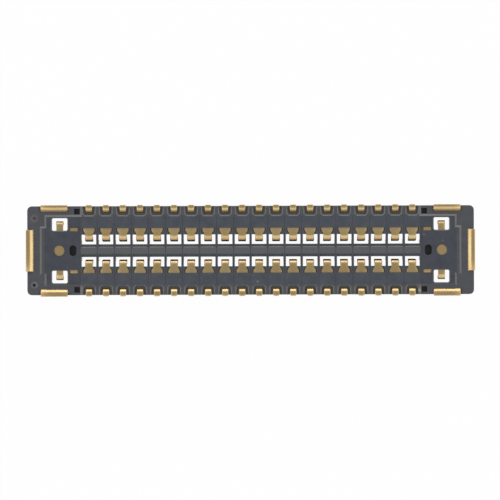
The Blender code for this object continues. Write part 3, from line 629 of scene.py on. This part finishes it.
def domedEnd(station, direction, dome, steps):
    # The last stretch before an end narrows along a quarter circle, in width and in stock
    y, z, ny, nz, width, share = station
    least = contactShape["domeShare"]
    rows = []
    for step in range(steps + 1):
        angle = math.pi / 2 * step / steps
        back = dome * (1 - math.cos(angle))
        narrow = 2 * dome * (1 - math.sin(angle))
        thin = share * (least + (1 - least) * math.sin(angle))
        across, height = y + direction[0] * back, z + direction[1] * back
        rows.append((across, height, ny, nz, width - narrow, thin))
    return rows


def sectionPoints(width, thickness, radius):
    # Rounded rectangle of the strip's section, with the share of stamped edge at each point
    limit, steps = contactShape["edgeLimit"], contactShape["edgeSteps"]
    radius = min(radius, thickness * limit, width * limit)
    points = []
    corners = ((1, -1, -90), (1, 1, 0), (-1, 1, 90), (-1, -1, 180))
    for sx, sz, start in corners:
        for step in range(steps + 1):
            angle = math.radians(start + 90 * step / steps)
            x = sx * (width / 2 - radius) + radius * math.cos(angle)
            z = sz * (thickness / 2 - radius) + radius * math.sin(angle)
            points.append((x, z, abs(math.cos(angle)) ** 2))
    return points


def addStrip(bm, stations, turn=0.0, place=(0.0, 0.0)):
    # Sweep the section through the stations, turned about the vertical and set at a place
    layer = bm.verts.layers.float["cutEdge"]
    c, s = math.cos(turn), math.sin(turn)
    rows = []
    for y, z, ny, nz, width, share in stations:
        row = []
        for x, up, edge in sectionPoints(width, part["stock"] * share, contactShape["edgeRadius"]):
            along = y + ny * up
            across, forward = place[0] + x * c - along * s, place[1] + x * s + along * c
            vert = bm.verts.new((across * mm, forward * mm, (z + nz * up) * mm))
            vert[layer] = edge
            row.append(vert)
        rows.append(row)
    faces = []
    for lower, upper in zip(rows, rows[1:]):
        for i in range(len(lower)):
            j = (i + 1) % len(lower)
            faces.append(bm.faces.new((lower[i], lower[j], upper[j], upper[i])))
    faces.append(bm.faces.new(list(reversed(rows[0]))))
    faces.append(bm.faces.new(rows[-1]))
    bmesh.ops.recalc_face_normals(bm, faces=faces)
    for face in faces:
        face.smooth = True
        if len(face.verts) > 4:
            for edge in face.edges:
                edge.smooth = False


def makeContactMesh():
    s = contactShape
    stations = bentStations(contactPoints(), s["bendSteps"])
    stations[:1] = domedEnd(stations[0], (-1, 0), s["domeLength"], s["domeSteps"])
    bm = bmesh.new()
    bm.verts.layers.float.new("cutEdge")
    addStrip(bm, stations)
    mesh = bpy.data.meshes.new("contactShape")
    bm.to_mesh(mesh)
    bm.free()
    return mesh


def makeRowTree():
    # One row of instances and a second row turned half round, made real at the end
    tree = bpy.data.node_groups.new("contactRowsTree", "GeometryNodeTree")
    face = tree.interface
    face.new_socket(name="Piece", in_out="INPUT", socket_type="NodeSocketObject")
    face.new_socket(name="Count", in_out="INPUT", socket_type="NodeSocketInt")
    face.new_socket(name="Pitch", in_out="INPUT", socket_type="NodeSocketFloat")
    face.new_socket(name="Material", in_out="INPUT", socket_type="NodeSocketMaterial")
    face.new_socket(name="Geometry", in_out="OUTPUT", socket_type="NodeSocketGeometry")
    start = addNode(tree, "NodeGroupInput", (-900, 0))
    end = addNode(tree, "NodeGroupOutput", (900, 0))
    shape = addNode(tree, "GeometryNodeObjectInfo", (-600, -200))
    shape.inputs["As Instance"].default_value = True
    link(tree, start.outputs["Piece"], shape.inputs["Object"])
    less = mathNode(tree, "SUBTRACT", (-750, 200), start.outputs["Count"], 1.0)
    span = mathNode(tree, "MULTIPLY", (-600, 200), less, start.outputs["Pitch"])
    first = mathNode(tree, "MULTIPLY", (-450, 200), span, -0.5)
    origin = addNode(tree, "ShaderNodeCombineXYZ", (-300, 200))
    link(tree, first, origin.inputs["X"])
    step = addNode(tree, "ShaderNodeCombineXYZ", (-300, 50))
    link(tree, start.outputs["Pitch"], step.inputs["X"])
    line = addNode(tree, "GeometryNodeMeshLine", (-100, 200), mode="OFFSET")
    link(tree, start.outputs["Count"], line.inputs["Count"])
    link(tree, origin.outputs[0], line.inputs["Start Location"])
    link(tree, step.outputs[0], line.inputs["Offset"])
    join = addNode(tree, "GeometryNodeJoinGeometry", (300, 0))
    for index, turn in enumerate((0.0, math.pi)):
        place = addNode(tree, "GeometryNodeInstanceOnPoints", (100, 200 - 300 * index))
        place.inputs["Rotation"].default_value = (0.0, 0.0, turn)
        link(tree, line.outputs[0], place.inputs["Points"])
        link(tree, shape.outputs["Geometry"], place.inputs["Instance"])
        link(tree, place.outputs[0], join.inputs[0])
    tone = addNode(tree, "FunctionNodeRandomValue", (300, -250), data_type="FLOAT")
    tone.inputs["Seed"].default_value = contactShape["toneSeed"]
    store = addNode(
        tree, "GeometryNodeStoreNamedAttribute", (450, 0), data_type="FLOAT", domain="INSTANCE"
    )
    store.inputs["Name"].default_value = "tone"
    link(tree, join.outputs[0], store.inputs["Geometry"])
    link(tree, [item for item in tone.outputs if item.enabled][0], store.inputs["Value"])
    real = addNode(tree, "GeometryNodeRealizeInstances", (600, 0))
    link(tree, store.outputs[0], real.inputs[0])
    paint = addNode(tree, "GeometryNodeSetMaterial", (750, 0))
    link(tree, real.outputs[0], paint.inputs["Geometry"])
    link(tree, start.outputs["Material"], paint.inputs["Material"])
    link(tree, paint.outputs[0], end.inputs[0])
    return tree


def repeatInRows(name, mesh, material):
    shape = addObject(name + "Shape", mesh)
    holder = addObject(name + "Holder", bpy.data.meshes.new(name + "Holder"))
    modifier = holder.modifiers.new("rows", "NODES")
    modifier.node_group = rowTree
    values = {
        "Piece": shape,
        "Count": part["perRow"],
        "Pitch": part["pitch"] * mm,
        "Material": material,
    }
    for socket in rowTree.interface.items_tree:
        if socket.in_out == "INPUT":
            modifier[socket.identifier] = values[socket.name]
    graph = bpy.context.evaluated_depsgraph_get()
    result = bpy.data.meshes.new_from_object(holder.evaluated_get(graph))
    result.name = name
    bpy.data.objects.remove(holder)
    bpy.data.objects.remove(shape)
    rows = addObject(name, result)
    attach(rows, "root")
    return rows


rowTree = makeRowTree()
rows = repeatInRows("contactRows", makeContactMesh(), contactGold)
flattenFaces(rows)
numbers = range(1, part["perRow"] + 1)
names = [f"contact_{row}_{number:02d}" for row in "ab" for number in numbers]
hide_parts(*names)
print("contacts made")


# Plastic moulded right up to each outer leg, all round it, in millimetres
seatShape = {
    "halfWidth": 0.0750,
    "inner": 0.7622,
    "outer": 0.8480,
    "bottom": 0.44,
    "top": 0.5105,
}


def addBlock(bm, lows, highs):
    # Box between two corners, in millimetres
    for vert in bmesh.ops.create_cube(bm, size=1.0)["verts"]:
        ends = zip(vert.co, lows, highs)
        vert.co = [(high if value > 0 else low) * mm for value, low, high in ends]


def makeSeatMesh():
    s = seatShape
    bm = bmesh.new()
    addBlock(bm, (-s["halfWidth"], s["inner"], s["bottom"]), (s["halfWidth"], s["outer"], s["top"]))
    mesh = bpy.data.meshes.new("seatShape")
    bm.to_mesh(mesh)
    bm.free()
    return mesh


seats = repeatInRows("legSeats", makeSeatMesh(), plastic)
print("leg seats made")


# End nails: the solid's own sheet with rounded edges, its tabs and tongues formed anew;
# a tab has its leg's place and its width, and lengths are in millimetres
nailShape = {
    "mergeDistance": 0.0002,
    "cutDistance": 0.00001,
    "flatAngle": 1,
    "snap": 0.001,
    "edgeRadius": 0.010,
    "edgeSegments": 2,
    "edgeAngle": 50,
    "smoothAngle": 48,
    "tabRoot": 0.10,
    "tabBend": 0.125,
    "tabSlope": 46,
    "tightBend": 0.031,
    "tabDome": 0.018,
    "endTabTips": {"right": 4.6150, "left": 4.6240},
    "endTab": (4.48, 0.857),
    "sideTabTips": (0.9370, 0.9450),
    "sideTab": (0.8125, 0.557),
    "sideTabPlace": 4.04,
    "tonguePlace": 3.925,
    "tongueWidth": 0.145,
    "tongueRoot": 0.490,
    "tongueArm": 0.587,
    "tongueHeight": 0.50,
    "tongueBend": 0.20,
    "tongueSlope": 22,
    "armTight": 0.021,
    "armShare": 0.60,
    "armPath": ((0.587, 0.31), (0.537, 0.18), (0.562, 0.10)),
    "armBend": 0.06,
    "bendSteps": 8,
    # Where the solid's own tabs, tongues and arms lie
    "oldTabs": {"bottom": 0.105, "farX": 4.44, "farY": 0.78},
    "oldTongues": {"farX": (3.80, 4.05), "farY": (0.495, 0.62), "bottom": 0.065},
    "oldArms": {"farY": (0.42, 0.62), "height": (0.065, 0.46)},
}


def tabStations(tip, leg, width):
    s = nailShape
    height = part["seatHeight"] - part["stock"] / 2
    first, second = easedBend(leg, height, s["tabBend"], s["tightBend"], s["tabSlope"])
    points = [
        (tip, height, 0, width, 1),
        (*first, s["tabBend"], width, 1),
        (*second, s["tightBend"], width, 1),
        (leg, s["tabRoot"], 0, width, 1),
    ]
    stations = bentStations(points, s["bendSteps"])
    stations[:1] = domedEnd(stations[0], (-1, 0), s["tabDome"], contactShape["domeSteps"])
    return stations


def tongueStations():
    s = nailShape
    width, thin, height = s["tongueWidth"], s["armShare"], s["tongueHeight"]
    first, second = easedBend(
        s["tongueArm"], height, s["tongueBend"], s["armTight"], s["tongueSlope"], outward=-1
    )
    points = [
        (s["tongueRoot"], height, 0, width, 1),
        (*first, s["tongueBend"], width, thin),
        (*second, s["armTight"], width, thin),
    ]
    points += [(y, z, s["armBend"], width, thin) for y, z in s["armPath"][:-1]]
    points.append((*s["armPath"][-1], 0, width, thin))
    return bentStations(points, s["bendSteps"])


def isFormedAnew(place):
    # Tabs above their root, and the tongues with the arms that hang from them
    x, y, z = (abs(value) / mm for value in place)
    tabs, tongues, arms = nailShape["oldTabs"], nailShape["oldTongues"], nailShape["oldArms"]
    if z > tabs["bottom"] and (x > tabs["farX"] or y > tabs["farY"]):
        return True
    if not tongues["farX"][0] < x < tongues["farX"][1]:
        return False
    arm = arms["farY"][0] < y < arms["farY"][1] and arms["height"][0] < z < arms["height"][1]
    return arm or (tongues["farY"][0] < y < tongues["farY"][1] and z > tongues["bottom"])


def trimNail(bm):
    # Clean the solid's triangles, cut at the roots, take the old strips off and close the cuts
    s = nailShape
    bmesh.ops.remove_doubles(bm, verts=bm.verts, dist=s["mergeDistance"] * mm)
    flat = math.radians(s["flatAngle"])
    bmesh.ops.dissolve_limit(bm, angle_limit=flat, verts=bm.verts, edges=bm.edges)
    root = s["tongueRoot"] * mm
    cuts = (
        ((0, root, 0), (0, 1, 0)),
        ((0, -root, 0), (0, 1, 0)),
        ((0, 0, s["tabRoot"] * mm), (0, 0, 1)),
    )
    for place, normal in cuts:
        everything = bm.verts[:] + bm.edges[:] + bm.faces[:]
        bmesh.ops.bisect_plane(
            bm, geom=everything, dist=s["cutDistance"] * mm, plane_co=place, plane_no=normal
        )
    old = [vert for vert in bm.verts if isFormedAnew(vert.co)]
    bmesh.ops.delete(bm, geom=old, context="VERTS")
    loose = [vert for vert in bm.verts if not vert.link_faces]
    bmesh.ops.delete(bm, geom=loose, context="VERTS")
    bmesh.ops.holes_fill(bm, edges=[edge for edge in bm.edges if edge.is_boundary], sides=0)
    bmesh.ops.recalc_face_normals(bm, faces=bm.faces)


def isAtTongueRoot(edge):
    root, snap = nailShape["tongueRoot"] * mm, nailShape["snap"] * mm
    return all(abs(abs(vert.co.y) - root) < snap for vert in edge.verts)


def roundEdges(bm):
    # Bevel the sheet's edges, but not where a tongue's strip goes on from the plate
    s = nailShape
    limit = math.radians(s["edgeAngle"])
    sharp = [edge for edge in bm.edges if edge.is_manifold and edge.calc_face_angle() > limit]
    bmesh.ops.bevel(
        bm,
        geom=[edge for edge in sharp if not isAtTongueRoot(edge)],
        offset=s["edgeRadius"] * mm,
        offset_type="OFFSET",
        segments=s["edgeSegments"],
        profile=0.5,
        affect="EDGES",
        clamp_overlap=True,
    )
    bmesh.ops.triangulate(bm, faces=[face for face in bm.faces if len(face.verts) > 4])
    limit = math.radians(s["smoothAngle"])
    for face in bm.faces:
        face.smooth = True
    for edge in bm.edges:
        edge.smooth = edge.is_manifold and edge.calc_face_angle() < limit


def makeFineNail(side):
    s = nailShape
    node = f"end_nail_{side}"
    bm = bmesh.new()
    bm.from_mesh(bpy.data.objects[node].data)
    bm.verts.layers.float.new("cutEdge")
    trimNail(bm)
    roundEdges(bm)
    sign = 1 if side == "right" else -1
    addStrip(bm, tabStations(s["endTabTips"][side], *s["endTab"]), -sign * math.pi / 2)
    for turn, tip in zip((0.0, math.pi), s["sideTabTips"]):
        addStrip(bm, tabStations(tip, *s["sideTab"]), turn, (sign * s["sideTabPlace"], 0.0))
        addStrip(bm, tongueStations(), turn, (sign * s["tonguePlace"], 0.0))
    mesh = bpy.data.meshes.new("fineNail_" + side)
    bm.to_mesh(mesh)
    bm.free()
    mesh.materials.append(nailGold)
    nail = addObject("fineNail_" + side, mesh)
    flattenFaces(nail)
    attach(nail, "root")
    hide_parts(node)


for side in ("left", "right"):
    makeFineNail(side)
print("end nails made")


# Plastic moulded up to the inner face of each solder tab: centre and half size in X and Y
tabSeats = {
    "end": (4.4555, 0.0, 0.0120, 0.4320),
    "side": (4.04, 0.7855, 0.2870, 0.0070),
    "bottom": 0.44,
    "top": 0.5444,
}


def makeTabSeats():
    s = tabSeats
    cx, cy, halfX, halfY = s["end"]
    places = [(sign * cx, cy, halfX, halfY) for sign in (1, -1)]
    cx, cy, halfX, halfY = s["side"]
    places += [(sx * cx, sy * cy, halfX, halfY) for sx in (1, -1) for sy in (1, -1)]
    bm = bmesh.new()
    for cx, cy, halfX, halfY in places:
        addBlock(bm, (cx - halfX, cy - halfY, s["bottom"]), (cx + halfX, cy + halfY, s["top"]))
    mesh = bpy.data.meshes.new("tabSeats")
    bm.to_mesh(mesh)
    bm.free()
    mesh.materials.append(plastic)
    item = addObject("tabSeats", mesh)
    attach(item, "root")


makeTabSeats()
print("tab seats made")


# Floor: white to the camera and in the metal's reflections, with the object's shadow kept
floorLook = {
    "half": 60 * mm,
    "drop": 0.004 * mm,
    "colour": (1.0, 1.0, 1.0, 1.0),
    "shadowShare": 0.03,
}


def makeFloor():
    half, height = floorLook["half"], -floorLook["drop"]
    mesh = bpy.data.meshes.new("floor")
    turns = ((-1, -1), (1, -1), (1, 1), (-1, 1))
    mesh.from_pydata([(sx * half, sy * half, height) for sx, sy in turns], [], [(0, 1, 2, 3)])
    item = addObject("floor", mesh)
    material = bpy.data.materials.new("paleFloor")
    material.use_nodes = True
    tree = material.node_tree
    tree.nodes.clear()
    output = addNode(tree, "ShaderNodeOutputMaterial", (600, 0))
    rays = addNode(tree, "ShaderNodeLightPath", (-600, 200))
    white = addNode(tree, "ShaderNodeEmission", (-200, 100))
    setInputs(white, Strength=1.0)
    lit = addNode(tree, "ShaderNodeBsdfDiffuse", (-200, -100))
    lit.inputs["Color"].default_value = floorLook["colour"]
    camera, glossy = rays.outputs["Is Camera Ray"], rays.outputs["Is Glossy Ray"]
    seen = mathNode(tree, "MAXIMUM", (-350, 250), camera, glossy)
    share = mathNode(tree, "MULTIPLY", (-200, 250), seen, 1 - floorLook["shadowShare"])
    mix = addNode(tree, "ShaderNodeMixShader", (250, 0))
    link(tree, share, mix.inputs[0])
    link(tree, lit.outputs[0], mix.inputs[1])
    link(tree, white.outputs[0], mix.inputs[2])
    link(tree, mix.outputs[0], output.inputs["Surface"])
    mesh.materials.append(material)


makeFloor()

# World and lamps: each lamp has its azimuth from +Y, angle from the zenith, spread and radiance
lightLook = {
    "worldColour": (1.0, 1.0, 1.0, 1.0),
    "worldStrength": 0.33,
    "long": 120 * mm,
    "distance": 80 * mm,
    "lamps": {
        "upperLamp": (0, 70, 42, 1.27),
        "rightLamp": (90, 55, 50, 0.88),
        "lowerLamp": (180, 38, 36, 0.50),
        "leftLamp": (270, 55, 50, 0.88),
    },
}


def makeWorld():
    world = bpy.data.worlds.new("studio")
    world.use_nodes = True
    background = world.node_tree.nodes["Background"]
    background.inputs["Color"].default_value = lightLook["worldColour"]
    background.inputs["Strength"].default_value = lightLook["worldStrength"]
    bpy.context.scene.world = world


# Four panels stand round the camera's axis, so level metal mirrors the dim middle
def makeLamp(name, azimuth, fromZenith, spread, radiance):
    distance = lightLook["distance"]
    lamp = bpy.data.lights.new(name, "AREA")
    lamp.shape = "RECTANGLE"
    lamp.size = lightLook["long"]
    lamp.size_y = 2 * distance * math.tan(math.radians(spread) / 2)
    lamp.energy = radiance * math.pi * lamp.size * lamp.size_y
    around, down = math.radians(azimuth), math.radians(fromZenith)
    out = distance * math.sin(down)
    place = Vector((out * math.sin(around), out * math.cos(around), distance * math.cos(down)))
    item = addObject(name, lamp)
    item.location = place
    item.rotation_mode = "QUATERNION"
    item.rotation_quaternion = place.to_track_quat("Z", "Y")


makeWorld()
for name, values in lightLook["lamps"].items():
    makeLamp(name, *values)

# Camera straight above the solder side
cameraLook = {
    "distance": 120 * mm,
    "frameWidth": 10.28 * mm,
    "centre": (-0.0128 * mm, 0.0045 * mm),
    "roll": -0.16,
    "sensor": 36.0,
    "clipStart": 10 * mm,
    "clipEnd": 1000 * mm,
}


def makeCamera():
    data = bpy.data.cameras.new("camera")
    data.sensor_width = cameraLook["sensor"]
    data.lens = cameraLook["sensor"] * cameraLook["distance"] / cameraLook["frameWidth"]
    data.clip_start = cameraLook["clipStart"]
    data.clip_end = cameraLook["clipEnd"]
    item = addObject("camera", data)
    item.location = (*cameraLook["centre"], part["fieldHeight"] * mm + cameraLook["distance"])
    item.rotation_euler = (0, 0, math.radians(cameraLook["roll"]))
    bpy.context.scene.camera = item


makeCamera()
bpy.context.scene.view_settings.view_transform = "Standard"
print("camera and lights made")
